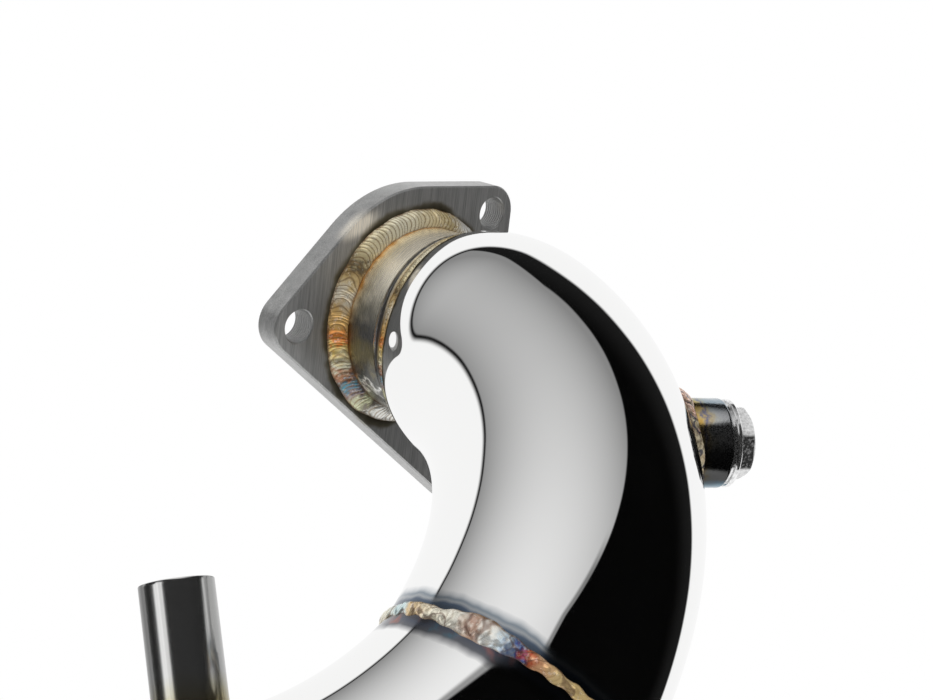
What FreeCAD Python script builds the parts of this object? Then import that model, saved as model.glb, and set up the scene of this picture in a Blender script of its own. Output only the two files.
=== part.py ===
import FreeCAD, Part
import math
import os

# Turbo downpipe: a three bolt turbo flange, a short collar, two mandrel bent elbows
# butt welded with a mitre, a sensor bung with its plug, and a small side pipe.
# The origin is the centre of the gas bore on the flange's mating face.
# The gas leaves along -Y, +Z is up. Sizes are millimetres and degrees.

# Turbo flange, seen from the pipe side with +X to the right
plate_thickness = 9.0
ear_radius = 9.2
crown_radius = 42.7
bolt_hole_radius = 5.25
left_hole = (-46.7, 0.0)
right_holes_x = 31.0
upper_hole_z = 33.0
lower_hole_z = -59.0
plate_edge_break = 0.5
hole_edge_break = 0.4

# Collar through the flange
collar_radius = 30.15
collar_wall = 1.6
collar_reach = 17.0
flange_slip_clearance = 0.1

# Main pipe
pipe_radius = 38.1
pipe_wall = 1.6
bend_radius = 114.3
neck_length = 35.0
neck_power = 2.6
neck_sections = 9
bend_plane_lean = 48.0
upper_bend_angle = 76.0
upper_tangent = 12.0
mitre_angle = 15.0
mitre_blend_angle = 5.0
lower_plane_turn = -20.0
lower_bend_angle = 60.0
tail_length = 50.0
tail_edge_break = 0.4

# Sensor port on the outer side of the upper elbow
sensor_bend_angle = 36.8
sensor_roll = 33.8
bung_radius = 13.25
bung_height = 11.3
bung_edge_break = 0.6
thread_radius = 9.0
thread_clearance = 0.05
washer_radius = 12.2
washer_thickness = 1.3
plug_flange_radius = 13.0
plug_flange_thickness = 1.5
hex_across_flats = 19.0
hex_height = 5.2
hex_corner_slope = 30.0
plug_shank_length = 10.5
plug_shank_break = 0.8

# Side pipe on the inner side of the lower elbow
branch_bend_angle = 44.6
branch_roll = -20.8
branch_radius = 10.0
branch_wall = 1.6
branch_height = 35.9
branch_edge_break = 0.3

# Weld beads
flange_weld_radial_leg = 5.45
flange_weld_axial_leg = 4.0
flange_weld_crown = 0.8
seam_collar_reach = 1.0
seam_neck_reach = 1.7
seam_bead_height = 0.85
joint_bead_width = 5.6
joint_bead_height = 1.2
bung_fillet = 3.2
branch_fillet = 2.6

# How far a cutting solid reaches past what it cuts, and how close counts as the same place
cut_margin = 4.0
same_place = 1e-6
touching = 1e-4

Y = FreeCAD.Vector(0, 1, 0)
Z = FreeCAD.Vector(0, 0, 1)
ORIGIN = FreeCAD.Vector(0, 0, 0)


def turned(vector, axis, degrees):
    """The vector turned about an axis by the right-hand rule."""
    return FreeCAD.Rotation(axis, degrees).multVec(vector)


class Bend:
    """A circular arc of pipe: where it starts, which way it goes and towards which side it turns."""

    def __init__(self, start, along, toward, radius):
        self.along = along
        self.toward = toward
        self.radius = radius
        self.centre = start + toward * radius
        self.normal = along.cross(toward)

    def inward(self, degrees):
        a = math.radians(degrees)
        return self.toward * math.cos(a) - self.along * math.sin(a)

    def tangent(self, degrees):
        a = math.radians(degrees)
        return self.along * math.cos(a) + self.toward * math.sin(a)

    def point(self, degrees):
        return self.centre - self.inward(degrees) * self.radius


# Lines and planes that the pieces share
pipe_inner = pipe_radius - pipe_wall
collar_inner = collar_radius - collar_wall
collar_end = -(plate_thickness + collar_reach)
neck_angle = math.degrees(neck_length / bend_radius)
bolt_holes = (left_hole, (right_holes_x, lower_hole_z), (right_holes_x, upper_hole_z))

upper_bend = Bend(Y * collar_end, -Y, turned(-Z, Y, bend_plane_lean), bend_radius)
upper_exit_way = upper_bend.tangent(upper_bend_angle)
joint_centre = upper_bend.point(upper_bend_angle) + upper_exit_way * upper_tangent

lower_way = turned(upper_exit_way, upper_bend.normal, mitre_angle)
lower_toward = turned(turned(upper_bend.inward(upper_bend_angle), upper_bend.normal, mitre_angle),
                      lower_way, lower_plane_turn)
lower_bend = Bend(joint_centre, lower_way, lower_toward, bend_radius)
joint_normal = (upper_exit_way + lower_way).normalize()
tail_way = lower_bend.tangent(lower_bend_angle)
tail_start = lower_bend.point(lower_bend_angle)

sensor_foot = upper_bend.point(sensor_bend_angle)
sensor_way = turned(-upper_bend.inward(sensor_bend_angle), upper_bend.tangent(sensor_bend_angle),
                    -sensor_roll)
sensor_seat = sensor_foot + sensor_way * (pipe_radius + bung_height)
branch_foot = lower_bend.point(branch_bend_angle)
branch_way = turned(lower_bend.inward(branch_bend_angle), lower_bend.tangent(branch_bend_angle),
                    branch_roll)
branch_reach = pipe_radius + branch_height


def ring_wire(centre, normal, radius, seam_side):
    """A circle whose start point, and so the seam of what is made from it, lies on the given side."""
    circle = Part.Circle(centre, normal, radius)
    circle.XAxis = seam_side
    return Part.Wire(circle.toShape())


def rod(start, direction, radius, length):
    """A round bar from a point along a direction."""
    return Part.makeCylinder(radius, length, start, direction)


def bent_rod(bend, radius, start_angle, end_angle, seam):
    """A round bar that follows the bend between two of its angles, its seam inside (1) or outside (-1)."""
    section = ring_wire(bend.point(start_angle), bend.tangent(start_angle), radius,
                        bend.inward(start_angle) * seam)
    return Part.Face(section).revolve(bend.centre, bend.normal, end_angle - start_angle)


def neck_radius(start_radius, end_radius, share):
    """The radius part of the way along the neck, steep at the collar and level at the pipe."""
    return start_radius + (end_radius - start_radius) * (1 - (1 - share) ** neck_power)


def neck(start_radius, end_radius):
    """The start of the upper bend, whose radius grows from the collar's to the pipe's like a dome."""
    rings = []
    for i in range(neck_sections):
        share = i / (neck_sections - 1)
        angle = neck_angle * share
        rings.append(ring_wire(upper_bend.point(angle), upper_bend.tangent(angle),
                               neck_radius(start_radius, end_radius, share), upper_bend.inward(angle)))
    return Part.makeLoft(rings, True)


def beyond(point, outward):
    """A block that fills what lies past a plane, as far as a pipe reaches."""
    return Part.makeCylinder(bend_radius, bend_radius, point, outward)


def break_edges(shape, size, wanted):
    """A small chamfer on the edges that the test picks."""
    return shape.makeChamfer(size, [edge for edge in shape.Edges if wanted(edge)])


def break_rim(shape, size, centre, radii):
    """A small chamfer on the round edges about a point that have one of the given radii."""
    def on_rim(edge):
        if not isinstance(edge.Curve, Part.Circle):
            return False
        near = edge.Curve.Center.distanceToPoint(centre) < same_place
        return near and any(abs(edge.Curve.Radius - radius) < same_place for radius in radii)

    return break_edges(shape, size, on_rim)


def tangent_points(first, first_radius, second, second_radius):
    """Where a straight edge on the right of the way from one circle to the next touches both."""
    dx = second[0] - first[0]
    dz = second[1] - first[1]
    distance = math.hypot(dx, dz)
    lean = (first_radius - second_radius) / distance
    side = math.sqrt(1 - lean * lean)
    nx = dx / distance * lean + dz / distance * side
    nz = dz / distance * lean - dx / distance * side
    return ((first[0] + nx * first_radius, first[1] + nz * first_radius),
            (second[0] + nx * second_radius, second[1] + nz * second_radius))


def flange_outline():
    """Three ears and a crown round the bore, joined by straight tangent edges, on the mating face."""
    rounds = [(hole, ear_radius) for hole in bolt_holes] + [((0.0, 0.0), crown_radius)]
    sides = []
    for i, (centre, radius) in enumerate(rounds):
        following, following_radius = rounds[(i + 1) % len(rounds)]
        sides.append(tangent_points(centre, radius, following, following_radius))
    edges = []
    for i, (centre, radius) in enumerate(rounds):
        arrive = sides[i - 1][1]
        leave, far = sides[i]
        first = math.atan2(arrive[1] - centre[1], arrive[0] - centre[0])
        last = math.atan2(leave[1] - centre[1], leave[0] - centre[0])
        if last < first:
            last += 2 * math.pi
        middle = (first + last) / 2
        top = (centre[0] + radius * math.cos(middle), centre[1] + radius * math.sin(middle))
        arc = [FreeCAD.Vector(x, 0, z) for x, z in (arrive, top, leave)]
        edges.append(Part.Arc(*arc).toShape())
        edges.append(Part.makeLine(arc[2], FreeCAD.Vector(far[0], 0, far[1])))
    return Part.Wire(edges)


def turbo_flange():
    """Laser cut plate with broken edges, three bolt holes and a bore that slips over the collar."""
    plate = Part.Face(flange_outline()).extrude(-Y * plate_thickness)
    plate = break_edges(plate, plate_edge_break,
                        lambda edge: edge.BoundBox.YMax - edge.BoundBox.YMin < same_place)
    for x, z in bolt_holes:
        plate = plate.cut(rod(FreeCAD.Vector(x, 0, z), -Y, bolt_hole_radius, plate_thickness))
        for y in (0, -plate_thickness):
            plate = break_rim(plate, hole_edge_break, FreeCAD.Vector(x, y, z), [bolt_hole_radius])
    return plate.cut(rod(ORIGIN, -Y, collar_radius + flange_slip_clearance, plate_thickness))


def inlet_collar():
    """Plain tube whose end is flush with the mating face."""
    length = plate_thickness + collar_reach
    return rod(ORIGIN, -Y, collar_radius, length).cut(rod(ORIGIN, -Y, collar_inner, length))


def flange_weld():
    """Fillet bead between the plate and the collar, with a slightly crowned face."""
    root = FreeCAD.Vector(collar_radius, -plate_thickness, 0)
    toe = root + FreeCAD.Vector(flange_weld_radial_leg, 0, 0)
    head = root - Y * flange_weld_axial_leg
    out = FreeCAD.Vector(flange_weld_axial_leg, -flange_weld_radial_leg, 0).normalize()
    crown = (toe + head) * 0.5 + out * flange_weld_crown
    edges = [Part.makeLine(root, toe), Part.Arc(toe, crown, head).toShape(), Part.makeLine(head, root)]
    return Part.Face(Part.Wire(edges)).revolve(ORIGIN, Y, 360)


def collar_seam(upper_outer):
    """Thin bead in the crease between the collar and the necked elbow."""
    on_collar = FreeCAD.Vector(collar_radius, collar_end + seam_collar_reach, 0)
    in_neck = FreeCAD.Vector(collar_radius, collar_end - seam_neck_reach, 0)
    crown = (on_collar + in_neck) * 0.5 + FreeCAD.Vector(seam_bead_height, 0, 0)
    edges = [Part.makeLine(on_collar, in_neck), Part.Arc(in_neck, crown, on_collar).toShape()]
    return Part.Face(Part.Wire(edges)).revolve(ORIGIN, Y, 360).cut(upper_outer)


def upper_solid(radius, start_radius):
    """The upper elbow as a bar: necked start, bend and straight tangent, cut at the mitre plane."""
    straight = rod(upper_bend.point(upper_bend_angle), upper_exit_way, radius,
                   upper_tangent + pipe_radius)
    bar = neck(start_radius, radius)
    bar = bar.fuse(bent_rod(upper_bend, radius, neck_angle, upper_bend_angle, 1))
    bar = bar.fuse(straight)
    return bar.cut(beyond(joint_centre, joint_normal))


def lower_solid(radius):
    """The lower elbow as a bar: from the mitre's ellipse into the bend, then the straight tail."""
    across = upper_bend.normal
    along = across.cross(joint_normal)
    long_radius = radius / math.cos(math.radians(mitre_angle / 2))
    ellipse = Part.Ellipse(joint_centre + along * long_radius, joint_centre + across * radius,
                           joint_centre)
    first_ring = ring_wire(lower_bend.point(mitre_blend_angle), lower_bend.tangent(mitre_blend_angle),
                           radius, along)
    bar = Part.makeLoft([Part.Wire(ellipse.toShape()), first_ring], True, True)
    bar = bar.fuse(bent_rod(lower_bend, radius, mitre_blend_angle, lower_bend_angle, -1))
    return bar.fuse(rod(tail_start, tail_way, radius, tail_length))


def joint_weld(upper_outer, lower_outer):
    """Raised butt weld round the mitre, an arc in section."""
    half = joint_bead_width / 2
    ball = (half * half + joint_bead_height * joint_bead_height) / (2 * joint_bead_height)
    ring = Part.makeTorus(pipe_radius + joint_bead_height - ball, ball, joint_centre, joint_normal)
    return ring.cut(upper_outer).cut(lower_outer)


def bung_body():
    """The sensor boss before it is bored, with its open end's edge broken."""
    body = rod(sensor_foot, sensor_way, bung_radius, pipe_radius + bung_height)
    return break_rim(body, bung_edge_break, sensor_seat, [bung_radius])


def sensor_bore():
    """The room of the sensor thread, from the middle of the pipe outwards."""
    return rod(sensor_foot, sensor_way, thread_radius, pipe_radius + bung_height + cut_margin)


def plug_washer():
    """Flat sealing ring between the bung and the plug."""
    ring = rod(sensor_seat, sensor_way, washer_radius, washer_thickness)
    return ring.cut(rod(sensor_seat, sensor_way, thread_radius, washer_thickness))


def sensor_plug():
    """Hexagon head plug with a round flange and a threaded shank, its corners cut by a cone."""
    flange_foot = sensor_seat + sensor_way * washer_thickness
    flange = rod(flange_foot, sensor_way, plug_flange_radius, plug_flange_thickness)
    head_foot = flange_foot + sensor_way * plug_flange_thickness
    flat_radius = hex_across_flats / 2
    corner = upper_bend.tangent(sensor_bend_angle) * (flat_radius / math.cos(math.pi / 6))
    corners = [head_foot + turned(corner, sensor_way, 60 * i) for i in range(7)]
    head = Part.Face(Part.makePolygon(corners)).extrude(sensor_way * hex_height)
    cone_foot_radius = flat_radius + hex_height / math.tan(math.radians(hex_corner_slope))
    head = head.common(Part.makeCone(cone_foot_radius, flat_radius, hex_height, head_foot, sensor_way))
    shank_radius = thread_radius - thread_clearance
    shank_end = sensor_seat - sensor_way * plug_shank_length
    shank = rod(shank_end, sensor_way, shank_radius, plug_shank_length + washer_thickness)
    shank = break_rim(shank, plug_shank_break, shank_end, [shank_radius])
    return head.fuse(flange).fuse(shank).removeSplitter()


def branch_body():
    """The side pipe as a bar from the middle of the lower elbow outwards."""
    return rod(branch_foot, branch_way, branch_radius, branch_reach)


def branch_bore():
    """The room inside the side pipe."""
    return rod(branch_foot, branch_way, branch_radius - branch_wall, branch_reach)


def branch_tube(lower_outer):
    """Small open tube coped to the lower elbow, its free end's edges broken."""
    tube = branch_body().cut(lower_outer).cut(branch_bore())
    return break_rim(tube, branch_edge_break, branch_foot + branch_way * branch_reach,
                     [branch_radius, branch_radius - branch_wall])


def lower_elbow(lower_outer):
    """The lower elbow's wall, holed under the side pipe, its free end's edges broken."""
    pipe = lower_outer.cut(lower_solid(pipe_inner)).cut(branch_bore())
    return break_rim(pipe, tail_edge_break, tail_start + tail_way * tail_length,
                     [pipe_radius, pipe_inner])


def saddle_weld(main, side, fillet_radius):
    """The concave bead left in the corner where a side piece stands on the main pipe."""
    joined = main.fuse(side).removeSplitter()
    corner = []
    for edge in joined.Edges:
        middle = Part.Vertex(edge.valueAt((edge.FirstParameter + edge.LastParameter) / 2))
        if main.distToShape(middle)[0] < touching and side.distToShape(middle)[0] < touching:
            corner.append(edge)
    return joined.makeFillet(fillet_radius, corner).cut(joined)


def save(name, shape):
    """Writes the largest solid of a shape, without loose slivers left by a cut."""
    solid = max(shape.Solids, key=lambda piece: piece.Volume)
    solid.exportStep("parts/" + name + ".step")


os.makedirs("parts", exist_ok=True)
upper_outer = upper_solid(pipe_radius, collar_radius)
lower_outer = lower_solid(pipe_radius)

save("turbo_flange", turbo_flange())
save("flange_weld", flange_weld())
save("inlet_collar", inlet_collar())
save("collar_seam", collar_seam(upper_outer))
save("upper_elbow", upper_outer.cut(upper_solid(pipe_inner, collar_inner)).cut(sensor_bore()))
save("sensor_bung", bung_body().cut(upper_outer).cut(sensor_bore()))
save("bung_weld", saddle_weld(upper_outer, bung_body(), bung_fillet))
save("plug_washer", plug_washer())
save("sensor_plug", sensor_plug())
save("joint_weld", joint_weld(upper_outer, lower_outer))
save("lower_elbow", lower_elbow(lower_outer))
save("branch_tube", branch_tube(lower_outer))
save("branch_weld", saddle_weld(lower_outer, branch_body(), branch_fillet))
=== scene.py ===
import bmesh
import bpy
import numpy as np
from mathutils import Matrix


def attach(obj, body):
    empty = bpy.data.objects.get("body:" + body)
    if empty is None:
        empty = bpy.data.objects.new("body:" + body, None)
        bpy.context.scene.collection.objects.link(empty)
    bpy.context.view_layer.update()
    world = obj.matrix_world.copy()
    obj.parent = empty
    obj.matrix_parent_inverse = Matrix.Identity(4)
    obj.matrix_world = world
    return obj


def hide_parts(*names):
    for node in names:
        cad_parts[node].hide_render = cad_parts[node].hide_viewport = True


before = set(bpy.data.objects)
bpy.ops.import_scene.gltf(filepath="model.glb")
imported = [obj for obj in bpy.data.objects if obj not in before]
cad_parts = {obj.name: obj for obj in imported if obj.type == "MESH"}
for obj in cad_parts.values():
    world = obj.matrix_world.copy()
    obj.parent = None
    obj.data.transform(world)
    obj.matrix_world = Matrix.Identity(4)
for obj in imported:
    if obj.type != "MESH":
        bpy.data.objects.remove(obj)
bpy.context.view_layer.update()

# Turbo downpipe: flange, collar, two mirror polished elbows, sensor bung with plug, side pipe.
# Sizes are millimetres and degrees in the part's own frame. MM turns them into metres.
MM = 0.001
X = np.array([1.0, 0.0, 0.0])
Y = np.array([0.0, 1.0, 0.0])
Z = np.array([0.0, 0.0, 1.0])

# Flange and collar. The holes are given by x and z.
plate_thickness = 9.0
bolt_holes = ((-46.7, 0.0), (31.0, 33.0), (31.0, -59.0))
bolt_hole_radius = 5.25
collar_radius = 30.15
collar_reach = 17.0

# Main pipe: the upper elbow, the mitre and the lower elbow with its tail
pipe_radius = 38.1
pipe_wall = 1.6
bend_radius = 114.3
neck_length = 35.0
neck_power = 2.6
bend_plane_lean = 48.0
upper_bend_angle = 76.0
upper_tangent = 12.0
mitre_angle = 15.0
lower_plane_turn = -20.0
lower_bend_angle = 60.0
tail_length = 50.0
tail_edge_break = 0.4

# Sensor bung, washer and plug
sensor_bend_angle = 36.8
sensor_roll = 33.8
bung_radius = 13.25
bung_height = 11.3
thread_radius = 9.0
washer_radius = 12.2
washer_thickness = 1.3
plug_flange_radius = 13.0
plug_flange_thickness = 1.5
hex_across_flats = 19.0
hex_height = 5.2
hex_corner_share = 1.135
hex_chamfer_slope = 30.0
plug_shank_length = 10.5
thread_clearance = 0.05

# Side pipe. The way to its painted dark reflections lies at this turn about its axis.
branch_bend_angle = 44.6
branch_roll = -20.8
branch_radius = 10.0
branch_wall = 1.6
branch_height = 35.9
dark_reflection_turn = -31.186

# Beads: how far their toes stand from the corner or joint that they fill. The mitre bead's half
# width changes at two places, given as (change, share of the round, spread).
flange_bead_reach = 5.3
flange_bead_rise = 3.9
seam_bead_back = 0.85
seam_bead_reach = 1.7
mitre_bead_half = 2.0
mitre_bead_changes = ((1.5, 0.708, 0.04), (-0.45, 0.59, 0.05))
saddle_root_depth = 0.15

# How far a ripple's middle runs ahead of its two ends, in ripples
ripple_bow = 1.2

# Turned edges, as steps (in from the side, down from the end)
bung_edge = ((0.0, 0.9), (0.08, 0.5), (0.3, 0.15), (0.6, 0.0))
side_pipe_edge = ((0.0, 1.0), (0.0, 0.4), (0.12, 0.12), (0.35, 0.0))
bore_edge = ((-0.3, 0.0), (-0.08, 0.1), (0.0, 0.4), (0.0, 1.5))

# How finely the elbows are divided: points round the pipe, and rows along a bend and a straight.
# The skin lengths are rough, and scale the UV map along the pipe.
pipe_columns = 288
bend_rows = 150
straight_rows = 16
upper_skin_length = 180.0
lower_skin_length = 170.0


def unit(v):
    """Each vector divided by its length."""
    return v / np.linalg.norm(v, axis=-1, keepdims=True)


def turned(v, axis, degrees):
    """v turned about axis: v cos a + (axis x v) sin a + axis (axis . v)(1 - cos a)."""
    a = np.radians(degrees)
    k = unit(axis)
    return v * np.cos(a) + np.cross(k, v) * np.sin(a) + k * np.dot(k, v) * (1 - np.cos(a))


class Bend:
    """A circular arc of pipe. Angles in degrees are numbers or arrays of any shape."""

    def __init__(self, start, along, toward, radius):
        self.along = along
        self.toward = toward
        self.radius = radius
        self.centre = start + toward * radius
        self.normal = np.cross(along, toward)

    def inward(self, degrees):
        """toward cos a - along sin a."""
        a = np.radians(degrees)[..., None]
        return self.toward * np.cos(a) - self.along * np.sin(a)

    def tangent(self, degrees):
        """along cos a + toward sin a."""
        a = np.radians(degrees)[..., None]
        return self.along * np.cos(a) + self.toward * np.sin(a)

    def point(self, degrees):
        """centre - inward times the bend's radius."""
        return self.centre - self.inward(degrees) * self.radius

    def skin(self, degrees, turn, radius):
        """Axis point + radius (inward cos t + normal sin t), t the turn round the pipe."""
        t = np.asarray(turn)[..., None]
        r = np.asarray(radius)[..., None]
        out = self.inward(degrees) * np.cos(t) + self.normal * np.sin(t)
        return self.point(degrees) + r * out


def neck_radius(start, end, share):
    """start + (end - start) (1 - (1 - share)^power): steep at the collar, level at the pipe."""
    return start + (end - start) * (1 - (1 - share) ** neck_power)


# Lines and planes that the pieces share
pipe_inner = pipe_radius - pipe_wall
collar_inner = collar_radius - pipe_wall
collar_end = -(plate_thickness + collar_reach)
neck_angle = np.degrees(neck_length / bend_radius)
upper_bend = Bend(Y * collar_end, -Y, turned(-Z, Y, bend_plane_lean), bend_radius)
upper_exit_way = upper_bend.tangent(upper_bend_angle)
upper_exit_inward = upper_bend.inward(upper_bend_angle)
joint_centre = upper_bend.point(upper_bend_angle) + upper_exit_way * upper_tangent
lower_way = turned(upper_exit_way, upper_bend.normal, mitre_angle)
lower_toward = turned(turned(upper_exit_inward, upper_bend.normal, mitre_angle),
                      lower_way, lower_plane_turn)
lower_bend = Bend(joint_centre, lower_way, lower_toward, bend_radius)
joint_normal = unit(upper_exit_way + lower_way)
tail_way = lower_bend.tangent(lower_bend_angle)
tail_start = lower_bend.point(lower_bend_angle)
sensor_foot = upper_bend.point(sensor_bend_angle)
sensor_way = turned(-upper_bend.inward(sensor_bend_angle), upper_bend.tangent(sensor_bend_angle),
                    -sensor_roll)
sensor_up = unit(Z - sensor_way * sensor_way[2])
bung_top = pipe_radius + bung_height
head_foot = bung_top + washer_thickness + plug_flange_thickness
head_top = head_foot + hex_height
branch_foot = lower_bend.point(branch_bend_angle)
branch_way = turned(lower_bend.inward(branch_bend_angle), lower_bend.tangent(branch_bend_angle),
                    branch_roll)
branch_top = pipe_radius + branch_height
# The way across the side pipe along which its painted dark reflections lie
dark_reflection_way = turned(unit(np.cross(branch_way, Z)), branch_way, dark_reflection_turn)


def around(count):
    """Angles once round, without the last, which is the first again."""
    return np.arange(count) * (2 * np.pi / count)


def mesh_piece(name, points, faces, uv, finish, sharp=35.0, groove=None):
    """A closed surface from points in millimetres, turned so that its volume is positive.

    finish is its material, the CAD node that it replaces and the node's material slot, which is
    not used. groove is the height of a bead's ripples at each point, kept as an attribute.
    """
    material, node, slot = finish
    mesh = bpy.data.meshes.new(name)
    mesh.from_pydata(points * MM, [], faces)
    layer = mesh.uv_layers.new(name="UVMap")
    layer.data.foreach_set("uv", np.asarray(uv, dtype=np.float32).ravel())
    if groove is not None:
        depth = mesh.attributes.new("groove", "FLOAT", "POINT")
        depth.data.foreach_set("value", np.asarray(groove, dtype=np.float32).ravel())
    solid = bmesh.new()
    solid.from_mesh(mesh)
    bmesh.ops.remove_doubles(solid, verts=solid.verts, dist=1e-7)
    if solid.calc_volume(signed=True) < 0:
        bmesh.ops.reverse_faces(solid, faces=solid.faces)
    solid.to_mesh(mesh)
    solid.free()
    mesh.shade_smooth()
    mesh.set_sharp_from_angle(angle=np.radians(sharp))
    mesh.materials.append(material)
    piece = bpy.data.objects.new(name, mesh)
    bpy.context.scene.collection.objects.link(piece)
    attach(piece, "root")
    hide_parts(node)


def grid_faces(rows, columns, close_rows=False):
    """Quads of a grid closed across its columns, and the grid place of each corner for its UV."""
    r = np.arange(rows if close_rows else rows - 1)
    i, j = [a.ravel() for a in np.meshgrid(r, np.arange(columns), indexing="ij")]
    corners = [(i, j), (i + 1, j), (i + 1, j + 1), (i, j + 1)]
    faces = np.stack([(a % rows) * columns + b % columns for a, b in corners], 1)
    places = np.stack([np.stack(corner, 1) for corner in corners], 1)
    return faces, places


def wrapped(name, points, u_size, v_size, finish, sharp=35.0, close_rows=True, groove=None):
    """A grid closed round both ways, or with its first and last row drawn to a pole."""
    rows, columns = points.shape[:2]
    faces, places = grid_faces(rows, columns, close_rows)
    uv = places[..., ::-1] * (u_size / columns, v_size / rows)
    mesh_piece(name, points.reshape(-1, 3), faces.tolist(), uv, finish, sharp, groove)


def open_edges(faces):
    """The directed edges that only one of these faces has."""
    edges = {}
    for a, b in faces[:, [0, 1, 1, 2, 2, 3, 3, 0]].reshape(-1, 2).tolist():
        key = (min(a, b), max(a, b))
        if edges.pop(key, None) is None:
            edges[key] = (a, b)
    return np.array(list(edges.values())).reshape(-1, 2)


def tube(name, outer, inner, length, hole, finish):
    """A pipe wall between two grids of points, stations x turns, with a round hole through both.

    The cells whose middle lies inside the hole are left out, their edge is drawn onto the hole's
    cylinder, and the outer and inner edges are joined by a wall.
    """
    rows, columns = outer.shape[:2]
    count = rows * columns
    faces, places = grid_faces(rows, columns)
    points = np.concatenate([outer.reshape(-1, 3), inner.reshape(-1, 3)])
    foot, way, radius = hole
    painted_dark_flats = points[faces].mean(1) - foot
    aside = painted_dark_flats - (painted_dark_flats @ way)[:, None] * way
    kept = (np.linalg.norm(aside, axis=1) > radius) | (painted_dark_flats @ way < 0)
    rim = open_edges(faces[~kept])
    moved = np.unique(rim)
    for ring in (moved, moved + count):
        from_foot = points[ring] - foot
        along = (from_foot @ way)[:, None] * way
        points[ring] = foot + along + unit(from_foot - along) * radius
    shown = faces[kept]
    walls = np.stack([rim[:, 0], rim[:, 1], rim[:, 1] + count, rim[:, 0] + count], 1)
    ends = []
    for row in (0, rows - 1):
        a = row * columns + np.arange(columns)
        b = row * columns + (np.arange(columns) + 1) % columns
        ring = np.stack([a, b, b + count, a + count], 1)
        ends.append(ring[:, ::-1] if row == 0 else ring)
    everything = np.concatenate([shown, shown[:, ::-1] + count, walls] + ends)
    size = np.array([2 * np.pi * pipe_radius / columns, length / rows]) * MM
    place = places[kept][..., ::-1]
    unpatterned = np.zeros((len(walls) + 2 * columns, 4, 2))
    uv = np.concatenate([place * size, place[:, ::-1] * size, unpatterned])
    mesh_piece(name, points, everything.tolist(), uv, finish)


def wander(turn, seed, waves, size, sines=7):
    """A smooth closed wobble: the sum of sines over the root of their count, times size.

    Their whole wave numbers and their phases are drawn once from the seed.
    """
    draw = np.random.default_rng(seed)
    numbers = draw.integers(waves[0], waves[1], sines)
    phases = draw.uniform(0, 2 * np.pi, sines)
    total = sum(np.sin(n * turn + p) for n, p in zip(numbers, phases))
    return size * total / np.sqrt(sines)


def weld(name, toe_a, toe_b, root, crown, pitch, ripple, seed, finish, steps=9, across=18):
    """A bead between two toe lines, given as functions of the turn.

    Point (t, v) is toe_a (1 - v) + toe_b v, raised by crown 4 v (1 - v) and by overlapping ripples
    ripple sin(pi s)^0.7, where s is the fraction of t's count of pitches plus a crescent shift
    in v. The section is closed through the root line.
    """
    rough = toe_a(around(64))
    round_length = np.linalg.norm(rough - np.roll(rough, 1, 0), axis=1).sum()
    ripples = int(round_length / pitch)
    turn = around(ripples * steps)
    a = toe_a(turn)
    b = toe_b(turn)
    travel = unit(np.roll(a + b, -1, 0) - np.roll(a + b, 1, 0))
    raise_way = unit(np.cross(b - a, travel))
    inside = root(turn) - (a + b) / 2
    raise_way *= -np.sign((raise_way * inside).sum(1, keepdims=True))
    v = np.linspace(0, 1, across)[:, None]
    hump = 4 * v * (1 - v)
    shift = ripple_bow * hump + wander(turn, seed, (3, 30), 0.6)
    s = np.mod(turn * ripples / (2 * np.pi) + shift, 1.0)
    wave = np.sin(np.pi * s) ** 0.7
    drift = wander(turn, seed + 7, (6, 30), 0.18) * (v - 0.5) * 2
    lumps = wander(turn, seed + 1, (20, 90), 0.22) + drift
    swell = 1 + wander(turn, seed + 2, (4, 30), 0.5)
    lift = crown * hump * (1 + lumps) + ripple * (wave - 0.6) * np.minimum(1, 3 * hump) * swell
    face = a * (1 - v[..., None]) + b * v[..., None] + raise_way * lift[..., None]
    points = np.concatenate([face, root(turn)[None]])
    groove = np.concatenate([wave, np.zeros((1, len(turn)))])
    wrapped(name, points, 1.0, (across + 1.0) / across, finish, sharp=80.0, groove=groove)


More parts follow.
